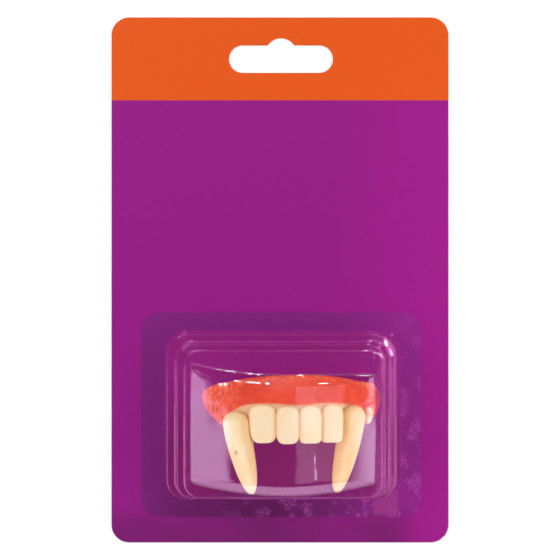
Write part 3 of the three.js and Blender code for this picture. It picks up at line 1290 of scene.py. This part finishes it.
@dataclass
class Blister:
    """The clear sheet: a flange sealed to the card, two steps and a bowed front.

    Attributes:
        back: Height of the flange's back.
        sheet: Thickness of the flange, from whose face the rows rise.
        thinned: Thickness of the formed sheet.
        middle: Place across of the bow's middle.
        height: Height of the bow's middle.
        bow: How far the bow falls towards its sides.
        half_width: Distance over which it falls.
        lean_top: How far the front's top edge sags in the middle.
        lean_bottom: How far its bottom edge sags in the middle.
        tilt_top: How far its top edge climbs to the left.
        rows: Outlines from the flange's edge to the foot of the bowed front.
        front: Outline of the front's rim.
        shoulder_across: Width of the rim's slant at its sides.
        shoulder_up: Width of the slant at its bottom and top.
        drop_across: Share of that width by which the rim drops at its sides.
        drop_up: Share of it by which the rim drops at its bottom and top.
        flare: How far the slant's inner edge spreads at its ends.
        shoulder_fillet: Fillet where the slant meets the bow.
        wall_calm: Share of its sheen that the wall lacks.
        riser_calm: Share of its sheen that a step's riser lacks.
        lower_calm: Share of its sheen that the lower edge lacks.
        slope_step: Share of a step's sheen that its slopes have.
        join: Number of the inner outline that the shoulder's stack ends on.
    """

    back: float = 0.7
    sheet: float = 0.5
    thinned: float = 0.3
    middle: float = 1.2
    height: float = 33.4
    bow: float = 8.0
    half_width: float = 26.5
    lean_top: float = 1.1
    lean_bottom: float = 2.45
    tilt_top: float = 1.6
    rows: tuple[FormedRow, ...] = (
        FormedRow(-42.9, 43.6, -73.2, -9.9, 5.5, 0, 0),
        FormedRow(-42.75, 43.45, -73.05, -10.05, 5.4, 0, 0.05),
        FormedRow(-36.1, 37.9, -68.0, -15.0, 6.9, 0, 0.05),
        FormedRow(-35.4, 37.2, -67.3, -15.7, 6.5, 0, 0.4),
        FormedRow(-34.5, 35.5, -66.8, -16.6, 6, 4.5, 0.45),
        FormedRow(-31.9, 33.0, -66.3, -18.6, 5.5, 4.5, 0.4),
        FormedRow(-31.1, 31.9, -65.8, -19.4, 5, 8, 0.45),
        FormedRow(-28.7, 30.5, -65.4, -21.2, 4.5, 8, 0.5),
    )
    front: FormedRow = FormedRow(-25.7, 27.5, -58.0, -25.0, 1.0, 0, 0.75)
    shoulder_across: float = 0.3
    shoulder_up: float = 3.1
    drop_across: float = 0.3
    drop_up: float = 0.46
    flare: float = 3.2
    shoulder_fillet: float = 1.5
    wall_calm: float = 0.45
    riser_calm: float = 0.3
    lower_calm: float = 0.7
    slope_step: float = 0.35
    join: int = 5

    def outline(self, row: FormedRow, across: float = 0.0, up: float = 0.0, share: float = 1.0) -> Array:
        """A row's outline, its sides drawn in and the rest shrunk onto its middle.

        Args:
            row: The row.
            across: Distance by which the left and right sides come in.
            up: Distance by which the lower and upper sides come in.
            share: Size of what is left, from 0 to 1.

        Returns:
            Points × 2.
        """
        x, y = (row.left + row.right) / 2, (row.bottom + row.top) / 2
        half_x = ((row.right - row.left) / 2 - across) * share
        half_y = ((row.top - row.bottom) / 2 - up) * share
        shrunk = Panel(x - half_x, x + half_x, y - half_y, y + half_y, row.corner * share)
        return shrunk.outline(across=64, up=36, bend=16)

    def bowed(self, outline: Array, flare: float = 0.0) -> Array:
        """Lays an outline on the bowed front.

        The front falls with the square of the way out from its middle. It leans down by as much
        less, more at its top than at its bottom, and its top climbs a little to the left.

        Args:
            outline: Points × 2.
            flare: How far the ends of an inner outline spread up and down.

        Returns:
            Points × 3.
        """
        x, y = outline.T
        way = np.clip((x - self.middle) / self.half_width, -1, 1)
        climb = (y - self.front.bottom) / (self.front.top - self.front.bottom)
        lean = self.lean_bottom + (self.lean_top - self.lean_bottom) * climb
        drop = lean * (1 - way * way) + self.tilt_top * climb * way * np.abs(way)
        drop = drop - flare * (2 * climb - 1) * way**4
        return np.stack([x, y - drop, self.height - self.bow * way * way], axis=-1)

    def marked(self, made: Skin, rim: Array) -> None:
        """Marks how little of a glance the thin wall and the seal mirror, and where the steps are.

        Args:
            made: The sheet's surface.
            rim: Places of the front's rim, one for each column.
        """
        x, y, z = np.moveaxis(made.points, -1, 0)
        upright = made.normals()[..., 2]
        wall = smoothstep(z, 9.4, 10.6) * smoothstep(rim[None, :, 2] - z, 0.4, 1.2)
        sealed = smoothstep(z, 1.4, 1.22)
        riser = smoothstep(upright, 0.5, 0.25)
        lower = smoothstep(y, -64.4, -65.2) * smoothstep(np.abs(x - self.middle), 34.0, 26.0)
        shares = [self.wall_calm * wall, sealed, self.riser_calm * riser, self.lower_calm * lower]
        made.marks["calm"] = np.maximum.reduce(shares)
        tread = self.slope_step + (1 - self.slope_step) * smoothstep(upright, 0.6, 0.95)
        made.marks["stepped"] = smoothstep(z, 1.4, 2.2) * smoothstep(z, 10.4, 9.6) * tread

    def skin(self) -> Skin:
        """Stacks the rows with fillets, takes the front rim off at a slant and carries it in to the middle.

        The slant runs from the rim up to a shoulder on the bow, drops by a share of its width and
        dies out to the sides. Two running averages along the profile take off the last creases,
        and shallow ripples go inwards.

        Returns:
            The sheet's outer surface.
        """
        base = self.back + self.sheet
        stack = []
        for row in self.rows:
            flat = self.outline(row)
            stack.append(np.column_stack([flat, np.full(len(flat), base + row.rise)]))
        insets = (self.shoulder_across, self.shoulder_up)
        outlines = [self.outline(self.front, *insets, share) for share in np.linspace(1, 0.02, 40)]
        inside = np.stack([self.bowed(outline, self.flare) for outline in outlines])
        rim = self.bowed(self.outline(self.front))
        apart = (rim - inside[0])[:, :2] * np.array([self.drop_across, self.drop_up])
        rim[:, 2] -= np.linalg.norm(apart, axis=-1)
        turns = [row.fillet for row in self.rows] + [self.front.fillet, self.shoulder_fillet, 0]
        walls = filleted(np.stack(stack + [rim, inside[0], inside[self.join]]), turns, bend=6, run=4)
        points = np.concatenate([walls, inside[self.join + 1:]])
        for _ in range(2):
            middle = 0.25 * points[:-2] + 0.5 * points[1:-1] + 0.25 * points[2:]
            raised = points[1:-1, :, 2:] > base + 0.01
            points = np.concatenate([points[:1], np.where(raised, middle, points[1:-1]), points[-1:]])
        made = Skin(points, first_pole=False)
        ripple = mottle(points, 9.0, 51) * 0.06 + mottle(points, 3.2, 57) * 0.02
        made.raise_by(-np.abs(ripple) * smoothstep(points[..., 2], 1.3, 4.0))
        self.marked(made, rim)
        return made

    def build(self) -> bpy.types.Object:
        """Makes the blister and gives its skin the sheet's thickness, inwards.

        Returns:
            The piece.
        """
        made = self.skin().build("clear_blister")
        wall = made.modifiers.new("sheet", "SOLIDIFY")
        wall.thickness = self.thinned * MM
        wall.offset = -1
        wall.use_even_offset = True
        return fit(made, Slot.BLISTER, ClearSheetFinish().material(), "blister")


@dataclass
class Card:
    """The hanging card: a rounded board with a euro slot."""

    width: float = 104.0
    height: float = 162.0
    thickness: float = 0.6
    corner: float = 5.5
    edge_round: float = 0.12
    slot_middle: tuple[float, float] = (0.3, 68.1)
    slot_width: float = 32.0
    slot_height: float = 8.4
    notch_width: float = 8.2
    notch_rise: float = 2.2

    def panel(self) -> Panel:
        """The card's outer edges."""
        return Panel(-self.width / 2, self.width / 2, -self.height / 2, self.height / 2, self.corner)

    def slot(self) -> Array:
        """The slot's outline round its own middle, counterclockwise from the lower left.

        Two half circles joined by straight sides, with a hump of two parabolas in the upper one.

        Returns:
            Points × 2.
        """
        radius = self.slot_height / 2
        reach = self.slot_width / 2 - radius
        turn = np.linspace(-math.pi / 2, math.pi / 2, 120)
        right = np.column_stack([reach + radius * np.cos(turn), radius * np.sin(turn)])
        start = np.array([self.notch_width / 2, radius])
        pull = np.array([self.notch_width * 0.3, radius + self.notch_rise])
        peak = np.array([0, radius + self.notch_rise])
        s = np.linspace(0, 1, 60)[:, None]
        hump = start * (1 - s) ** 2 + 2 * pull * s * (1 - s) + peak * s * s
        upper = np.column_stack([np.linspace(reach, self.notch_width / 2, 40)[1:], np.full(39, radius)])
        half = np.concatenate([right, upper, hump[1:]])
        mirrored = half[::-1][1:] * np.array([-1, 1])
        lower = np.column_stack([np.linspace(-reach, reach, 120)[1:-1], np.full(118, -radius)])
        return np.concatenate([half, mirrored, lower])

    def skin(self) -> Skin:
        """A ring of board between the slot and the outer edge, closed round its own section.

        Each column runs from the slot's edge to the outer edge at the same bearing from the
        slot's middle, over a rounded edge, back underneath and up through the slot.

        Returns:
            The board's surface.
        """
        outer = self.panel().outline(across=120, up=150, bend=24)
        middle = np.array(self.slot_middle)
        bearing = np.arctan2(outer[:, 1] - middle[1], outer[:, 0] - middle[0])
        hole = self.slot()
        hole_bearing = np.arctan2(hole[:, 1], hole[:, 0])
        order = np.argsort(hole_bearing)
        radius = np.interp(bearing, hole_bearing[order], np.hypot(*hole.T)[order], period=2 * math.pi)
        ray = np.column_stack([np.cos(bearing), np.sin(bearing)])
        inner = middle + ray * radius[:, None]
        reach = np.linalg.norm(outer - inner, axis=-1)
        soft, half = self.edge_round, self.thickness / 2
        face = (1 - np.cos(np.linspace(0, 1, 26) * math.pi)) / 2
        bend = np.linspace(0, math.pi, 9)[1:-1]
        bulge = soft * np.sin(bend)[:, None]
        inset = np.concatenate([
            soft + (reach - 2 * soft) * face[:, None],
            reach - soft + bulge,
            soft + (reach - 2 * soft) * face[::-1, None],
            soft - bulge + 0 * reach,
        ])
        side, curl = (half - soft) * np.sign(np.cos(bend).round(6)), soft * np.cos(bend)
        level = np.concatenate([
            np.full(len(face), self.thickness), half + side + curl, np.zeros(len(face)), half - side - curl,
        ])
        flat = inner[None] + (outer - inner)[None] * (inset / reach)[..., None]
        tall = np.broadcast_to(level[:, None, None], flat.shape[:2] + (1,))
        return Skin(np.concatenate([flat, tall], axis=-1), ring_rows=True)

    def build(self, blister: Blister) -> bpy.types.Object:
        """Makes the card that a blister is sealed to."""
        finish = PrintedBoardFinish().material(self, blister)
        return fit(self.skin().build("printed_card"), Slot.CARD, finish, "card")


@dataclass
class Denture:
    """The false teeth: gum, band, four front teeth and two fangs.

    Attributes:
        arch: The denture's arch.
        teeth: Each front tooth's node, its sizes as an incisor lists them, and its edge's power.
    """

    arch: Arch = field(default_factory=Arch)
    teeth: ClassVar[tuple[tuple[Any, ...], ...]] = (
        ("incisor_lateral_left", -10.35, 8.0, -5.75, -16.5, 2, 0.22, 0.04, 3.6),
        ("incisor_central_left", -3.1, 6.5, -6.2, -16.8, 0, 0.08, 0.06, 3.6),
        ("incisor_central_right", 3.36, 6.35, -6.2, -16.7, 0, 0.06, 0.06, 5.5),
        ("incisor_lateral_right", 9.9, 6.6, -5.75, -16.55, -2, 0.05, 0.1, 6.5),
    )

    def build(self) -> None:
        """Makes every piece of the denture in order."""
        gum = Gum(self.arch)
        gum.build()
        shades = (tone(247, 206, 160), tone(250, 216, 176), tone(238, 160, 112))
        cream = EnamelFinish("cream_band_plastic", *shades).material()
        ToothBand(self.arch, gum).build(cream)
        BandStub(self.arch, "tooth_band").build(cream)
        front = EnamelFinish("pale_tooth_plastic", tone(255, 224, 181), tone(255, 232, 199)).material()
        for node, *sizes, square in self.teeth:
            Incisor(self.arch, node, *sizes, edge_power=square).build(front)
        long = EnamelFinish("yellowed_fang_plastic", tone(255, 222, 168), tone(255, 231, 190)).material()
        marks = ((-12.5, -49.1, 0.34, 0.72, 0.75), (-9.75, -37.9, 0.35, 0.5, 0.5))
        tip = (-12.85, -31.4, 13.6)
        Fang(self.arch, "fang_left", Side.LEFT, -0.675, tip, marks, top=-7.4, bulge=1.6).build(long)
        # Painted shade: the right fang gets a darker copy of the fang plastic, which takes off the stronger
        # light that falls on it from the right.
        shaded_fang = EnamelFinish("shaded_fang_plastic", tone(244, 203, 137), tone(250, 212, 155)).material()
        marks = ((17.6, -36.9, 0.28, 0.5, 0.7),)
        tip = (12.2, -31.4, 13.6)
        Fang(self.arch, "fang_right", Side.RIGHT, 0.632, tip, marks, top=-6.0, out=0.4, inner_stain_and_shade=0.6).build(shaded_fang)


@dataclass(frozen=True)
class Lamp:
    """One soft box.

    Attributes:
        name: Its name.
        place: Its middle, in metres.
        sides: Its two sides, in metres.
        glow: Its brightness, in watts per square metre and steradian.
        soft: Share of each half side over which it fades out.
        reach: Whether it lights surfaces or shows in reflections.
        tint: Its colour.
        facing: Where it looks.
    """

    name: str
    place: Triple
    sides: tuple[float, float]
    glow: float
    soft: tuple[float, float] = (0.3, 0.3)
    reach: Reach = Reach.SHINE
    tint: Triple = (1.0, 1.0, 1.0)
    facing: Facing = Facing.ALONG

    def aim(self) -> Vector:
        """The direction in which the lamp looks, towards a place above the card.

        Returns:
            The direction, level with the card's side or edge unless it looks at the part.
        """
        x = self.place[0] if self.facing is Facing.ALONG else 0.0
        y = self.place[1] if self.facing is Facing.ACROSS else -0.02
        return Vector((x, y, 0.01)) - Vector(self.place)

    def fade(self, light: bpy.types.AreaLight) -> None:
        """Fades the lamp's light out towards its edges.

        Args:
            light: The lamp's light.
        """
        light.use_nodes = True
        nodes = Nodes(light.node_tree)
        spot = nodes.add("NewGeometry").outputs["Parametric"]
        away = nodes.split(nodes.vector("ABSOLUTE", nodes.vector("SUBTRACT", spot, (0.5, 0.5, 0))))
        fades = [nodes.ease(way, 0.5 * (1 - soft), 0.5, 1.0, 0.0) for way, soft in zip(away, self.soft)]
        nodes.put(light.node_tree.nodes["Emission"], "Strength", nodes.times(*fades))

    def build(self) -> None:
        """Makes the lamp and aims it."""
        light = bpy.data.lights.new(self.name, "AREA")
        light.shape = "RECTANGLE"
        light.size, light.size_y = self.sides
        light.energy = self.glow * math.pi * self.sides[0] * self.sides[1]
        light.color = self.tint
        self.fade(light)
        made = bpy.data.objects.new(self.name, light)
        made.visible_camera = False
        made.visible_diffuse = self.reach is Reach.MATT
        made.visible_glossy = self.reach is Reach.SHINE
        made.location = self.place
        made.rotation_euler = self.aim().to_track_quat("-Z", "Y").to_euler()
        bpy.context.scene.collection.objects.link(made)


@dataclass(frozen=True)
class SideBox(Lamp):
    """A tinted box that looks straight across the card."""

    tint: Triple = LILAC
    facing: Facing = Facing.ACROSS


@dataclass
class Studio:
    """The pale floor, the soft boxes, the even fill and the camera above the card."""

    camera_height: float = 0.330
    half_view: float = 0.08652
    fill: float = 0.68
    floor_half: float = 3.0
    floor_level: float = -0.0002
    lamps: tuple[Lamp, ...] = (
        Lamp("left_light", (-0.54, 0.0, 0.36), (0.7, 0.4), 3.0, reach=Reach.MATT, facing=Facing.PART),
        Lamp("right_light", (0.54, 0.0, 0.36), (0.7, 0.4), 3.4, reach=Reach.MATT, facing=Facing.PART),
        SideBox("left_box", (-0.576, -0.2525, 0.259), (0.395, 0.33), 4.2, (0.2, 0.42)),
        SideBox("left_lower", (-0.484, -0.275, 0.4365), (0.35, 0.21), 4.2, (0.23, 0.67)),
        SideBox("right_box", (0.56, -0.268, 0.28), (0.336, 0.38), 2.8, (0.12, 0.5)),
        SideBox("right_lower", (0.56, -0.27, 0.245), (0.336, 0.3), 2.7, (0.12, 0.8)),
        SideBox("right_strip", (0.56, -0.06, 0.245), (0.114, 0.11), 4.2, (0.06, 0.15)),
        SideBox("near_panel", (0.1625, -0.1, 0.55), (0.5, 0.175), 1.3, (0.3, 0.4), tint=MAUVE),
        SideBox("panel_edge", (0.24, -0.166, 0.55), (0.06, 0.008), 6.0),
        SideBox("far_panel", (0.375, -0.1, 0.55), (0.5, 0.30), 1.2, (0.3, 0.25), tint=ROSE),
        Lamp("bottom_box", (0.0, -0.5, 0.21), (1.5, 0.40), 3.5, (0.3, 0.35), tint=LILAC),
        Lamp("top_strip", (0.0, 0.66, 0.22), (1.0, 0.16), 2.2, (0.3, 0.4), tint=LILAC),
        Lamp("left_spot", (-0.56, -0.08, 0.55), (0.0016, 0.11), 90.0, facing=Facing.ACROSS),
        Lamp("top_spot_a", (-0.35, 0.27, 0.55), (0.045, 0.06), 36.0),
        Lamp("top_spot_b", (-0.215, 0.29, 0.55), (0.10, 0.05), 36.0),
        Lamp("top_spot_c", (-0.12, 0.29, 0.55), (0.022, 0.07), 40.0),
        Lamp("top_spot_d", (0.335, 0.29, 0.55), (0.11, 0.045), 40.0),
        Lamp("rear_spot_a", (-0.225, 0.5, 0.21), (0.026, 0.10), 45.0),
        Lamp("rear_spot_b", (-0.12, 0.5, 0.21), (0.07, 0.10), 45.0),
        Lamp("rear_spot_c", (0.09, 0.5, 0.22), (0.036, 0.10), 50.0),
        Lamp("rear_spot_d", (0.50, 0.5, 0.26), (0.05, 0.10), 45.0),
        Lamp("corner_spot_a", (0.10, -0.04, 0.55), (0.004, 0.008), 250.0),
        Lamp("corner_spot_b", (0.09, -0.06, 0.55), (0.006, 0.005), 120.0),
    )

    def build_floor(self) -> None:
        """Makes the floor just under the card."""
        recipe = Recipe("pale_floor")
        recipe.shade(
            base_color=recipe.mix(recipe.noise(40, 2), (0.97, 0.97, 0.97, 1), (0.99, 0.99, 0.99, 1)),
            roughness=0.7,
            specular_ior_level=0.2,
        )
        mesh = bpy.data.meshes.new("floor")
        turns = ((-1, -1), (1, -1), (1, 1), (-1, 1))
        corners = [(x * self.floor_half, y * self.floor_half, self.floor_level) for x, y in turns]
        mesh.from_pydata(corners, [], [(0, 1, 2, 3)])
        mesh.materials.append(recipe.material)
        floor = bpy.data.objects.new("floor", mesh)
        bpy.context.scene.collection.objects.link(floor)

    def build_lights(self) -> None:
        """Makes the soft boxes and an even fill that doesn't show in the sheet."""
        for lamp in self.lamps:
            lamp.build()
        world = bpy.data.worlds.new("even_fill")
        bpy.context.scene.world = world
        world.use_nodes = True
        background = world.node_tree.nodes["Background"]
        background.inputs["Color"].default_value = (1, 1, 1, 1)
        background.inputs["Strength"].default_value = self.fill
        world.cycles_visibility.glossy = False

    def build_camera(self) -> None:
        """Makes the camera, which looks straight down onto the card."""
        data = bpy.data.cameras.new("camera")
        data.sensor_fit = "HORIZONTAL"
        data.angle = 2 * math.atan(self.half_view / self.camera_height)
        data.clip_start = 0.01
        camera = bpy.data.objects.new("camera", data)
        camera.location = (0, 0, self.camera_height)
        bpy.context.scene.collection.objects.link(camera)
        bpy.context.scene.camera = camera
        bpy.context.scene.view_settings.view_transform = "Standard"

    def build(self) -> None:
        """Sets the whole studio."""
        self.build_floor()
        self.build_lights()
        self.build_camera()
        log.info("studio: %d lamps", len(self.lamps))


def main() -> None:
    """Builds the studio, the card, the blister and the denture."""
    logging.basicConfig(level=logging.INFO, format="%(name)s %(message)s")
    Studio().build()
    blister = Blister()
    Card().build(blister)
    blister.build()
    Denture().build()


if __name__ == "__main__":
    main()
